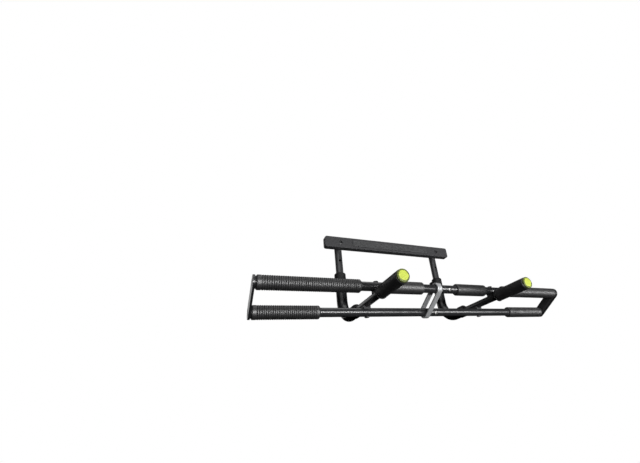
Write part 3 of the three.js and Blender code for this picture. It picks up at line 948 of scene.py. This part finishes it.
def rounded_rectangle(length, height, radius, steps=8):
    """The (x, z) outline of a rectangle with round corners."""
    outline = []
    corners = [(1, 1), (-1, 1), (-1, -1), (1, -1)]
    for quarter, (x_sign, z_sign) in enumerate(corners):
        for step in range(steps + 1):
            angle = math.pi / 2 * (quarter + step / steps)
            x = x_sign * (length / 2 - radius) + radius * math.cos(angle)
            z = z_sign * (height / 2 - radius) + radius * math.sin(angle)
            outline.append((x, z))
    return outline


def facing_front(centre, front_y):
    """Stands a slab drawn in (x, z) up, so that it thickens from its front face towards +Y."""
    return Matrix(((1, 0, 0, centre.x), (0, 0, 1, front_y), (0, 1, 0, centre.z), (0, 0, 0, 1)))


def hook_board():
    """The moulded board: soft edges, a pocket for its pad and two sunk screw seats."""
    low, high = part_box("hook_board")
    centre = middle("hook_board")
    size = high - low
    outline = rounded_rectangle(size.x, size.z, BOARD_CORNER_R)
    board = slab("hook_board_body", outline, size.y, facing_front(centre, low.y))
    pad_size = 2 * half_size("hook_pad")
    outline = rounded_rectangle(pad_size.x + 2 * GAP, pad_size.z + 2 * GAP, PAD_CORNER_R)
    pocket_face = facing_front(centre, low.y - OVERCUT)
    cutters = [slab("pocket", outline, PAD_POCKET_DEPTH + OVERCUT, pocket_face)]
    for side_name in SIDES:
        x = middle(f"hook_tube_{side_name}").x
        mouth = along((0, 1, 0), Vector((x, low.y, centre.z)))
        cutters.append(rod("seat", BOARD_SEAT_R, -OVERCUT, BOARD_SEAT_DEPTH, mouth))
        cutters.append(rod("hole", SHANK_HOLE_R, -OVERCUT, size.y + OVERCUT, mouth))
    return finished(softened(combined(board, cutters), 1.2 * MM, 4), "black_plastic", "hook_board")


def hook_pad():
    """The grooved rubber pad that bears on the wall."""
    low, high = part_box("hook_pad")
    centre = middle("hook_pad")
    size = high - low
    outline = rounded_rectangle(size.x, size.z, PAD_CORNER_R)
    pad = slab("hook_pad_body", outline, size.y, facing_front(centre, low.y))
    groove_outline = rounded_rectangle(size.x - 2 * GROOVE_INSET, GROOVE_WIDTH, GROOVE_END_R)
    grooves = []
    for row in (-1, 0, 1):
        place = Vector((centre.x, 0, centre.z + row * size.z / 4))
        front = facing_front(place, low.y - OVERCUT)
        grooves.append(slab("groove", groove_outline, GROOVE_DEPTH + OVERCUT, front))
    return finished(softened(combined(pad, grooves), 0.4 * MM, 3), "pad_rubber", "hook_pad")


def board_screw(side_name):
    """A low domed screw that ties the board to a hook tube."""
    node = f"board_screw_{side_name}"
    low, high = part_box(node)
    head_r = half_size(node).x
    face = along((0, -1, 0), Vector((middle(node).x, low.y, middle(node).z)))
    length = high.y - low.y
    profile = [
        (0, 0), (0, head_r - 1.8 * MM), (-0.6 * MM, head_r - 0.7 * MM), (-1.6 * MM, head_r),
        (-BOARD_SCREW_HEAD, head_r), (-BOARD_SCREW_HEAD, SHANK_R), (-length, SHANK_R), (-length, 0),
    ]
    screw = turned(f"{node}_body", profile, face, SMALL_ROUND)
    screw = combined(screw, [hex_socket(7 * MM, 2.2 * MM, face)])
    return finished(screw, "dark_steel", node)


hook_board()
hook_pad()
for side_name in SIDES:
    hook_tube(side_name)
    board_screw(side_name)


# ---------- stage ----------

FLOOR_R = 6.0
FLOOR_DROP = 1.9
FLOOR_THICKNESS = 0.02


def floor():
    """A plain pale floor, well below the bar, as in a doorway.

    It is hidden from bounced light, so that it doesn't brighten the bar from below.
    """
    foot = Matrix.Translation((0, 0, -FLOOR_DROP - FLOOR_THICKNESS))
    disc = slab("floor", circle(FLOOR_R, ROUND), FLOOR_THICKNESS, foot)
    material = bpy.data.materials.new("pale_floor")
    material.use_nodes = True
    shader = material.node_tree.nodes["Principled BSDF"]
    shader.inputs["Base Color"].default_value = (0.8, 0.8, 0.8, 1)
    shader.inputs["Roughness"].default_value = 0.9
    shader.inputs["Emission Color"].default_value = (1, 1, 1, 1)
    shader.inputs["Emission Strength"].default_value = 0.5
    disc.data.materials.append(material)
    disc.visible_diffuse = False
    disc.visible_glossy = False


def area_light(name, place, target, width, height, power, spread=180):
    """A rectangular light, in metres, watts and degrees, that the camera doesn't see."""
    data = bpy.data.lights.new(name, "AREA")
    data.spread = math.radians(spread)
    data.shape = "RECTANGLE"
    data.size = width
    data.size_y = height
    data.energy = power
    light = bpy.data.objects.new(name, data)
    light.location = place
    aim = Vector(target) - Vector(place)
    light.visible_camera = False
    light.rotation_euler = aim.to_track_quat("-Z", "Y").to_euler()
    bpy.context.scene.collection.objects.link(light)


def studio():
    """Soft light from all round, brighter above than below, and white where the camera sees it."""
    world = bpy.data.worlds.new("studio")
    world.use_nodes = True
    nodes, links = world.node_tree.nodes, world.node_tree.links
    sky = nodes["Background"]
    backdrop = nodes.new("ShaderNodeBackground")
    backdrop.inputs["Color"].default_value = (1, 1, 1, 1)
    backdrop.inputs["Strength"].default_value = 1.0
    split = nodes.new("ShaderNodeSeparateXYZ")
    links.new(nodes.new("ShaderNodeTexCoord").outputs["Generated"], split.inputs["Vector"])
    ramp = nodes.new("ShaderNodeMapRange")
    ramp.inputs["From Min"].default_value = -0.2
    ramp.inputs["From Max"].default_value = 0.9
    ramp.inputs["To Min"].default_value = 0.015
    ramp.inputs["To Max"].default_value = 0.34
    links.new(split.outputs["Z"], ramp.inputs["Value"])
    links.new(ramp.outputs["Result"], sky.inputs["Strength"])
    mix = nodes.new("ShaderNodeMixShader")
    links.new(nodes.new("ShaderNodeLightPath").outputs["Is Camera Ray"], mix.inputs["Fac"])
    links.new(sky.outputs["Background"], mix.inputs[1])
    links.new(backdrop.outputs["Background"], mix.inputs[2])
    links.new(mix.outputs["Shader"], nodes["World Output"].inputs["Surface"])
    bpy.context.scene.world = world
    bpy.context.scene.view_settings.view_transform = "Standard"


def lights():
    """A long strip, for the narrow highlights along the bars, and three soft lights."""
    middle_of_bars = (0, LOWER_BAR.y, LOWER_BAR.z)
    strip_target = (1.3, LOWER_BAR.y, LOWER_BAR.z)
    area_light("strip", (1.3, -2.3, -0.6), strip_target, 5.0, 0.3, 95, spread=120)
    area_light("front", (-1.2, -2.0, 1.3), middle_of_bars, 2.2, 1.4, 14)
    area_light("top", (0.2, -0.4, 2.4), middle_of_bars, 2.6, 1.6, 24)
    area_light("back", (-0.9, 2.5, 0.7), (-0.5, LOWER_BAR.y, LOWER_BAR.z), 1.8, 1.4, 7)


def camera():
    """Looks up at the bar from below and to the left of it."""
    place = Vector((-0.566, LOWER_BAR.y - 0.770, LOWER_BAR.z - 0.224))
    yaw, pitch, roll = math.radians(29.05), math.radians(24.25), math.radians(-8.0)
    data = bpy.data.cameras.new("camera")
    data.sensor_width = 36
    data.lens = 18.0
    data.shift_x = -0.0917
    data.shift_y = 0.0392
    view = bpy.data.objects.new("camera", data)
    turn = Matrix.Rotation(-yaw, 4, "Z") @ Matrix.Rotation(math.pi / 2 + pitch, 4, "X")
    view.matrix_world = Matrix.Translation(place) @ turn @ Matrix.Rotation(roll, 4, "Z")
    bpy.context.scene.collection.objects.link(view)
    bpy.context.scene.camera = view


floor()
studio()
lights()
camera()
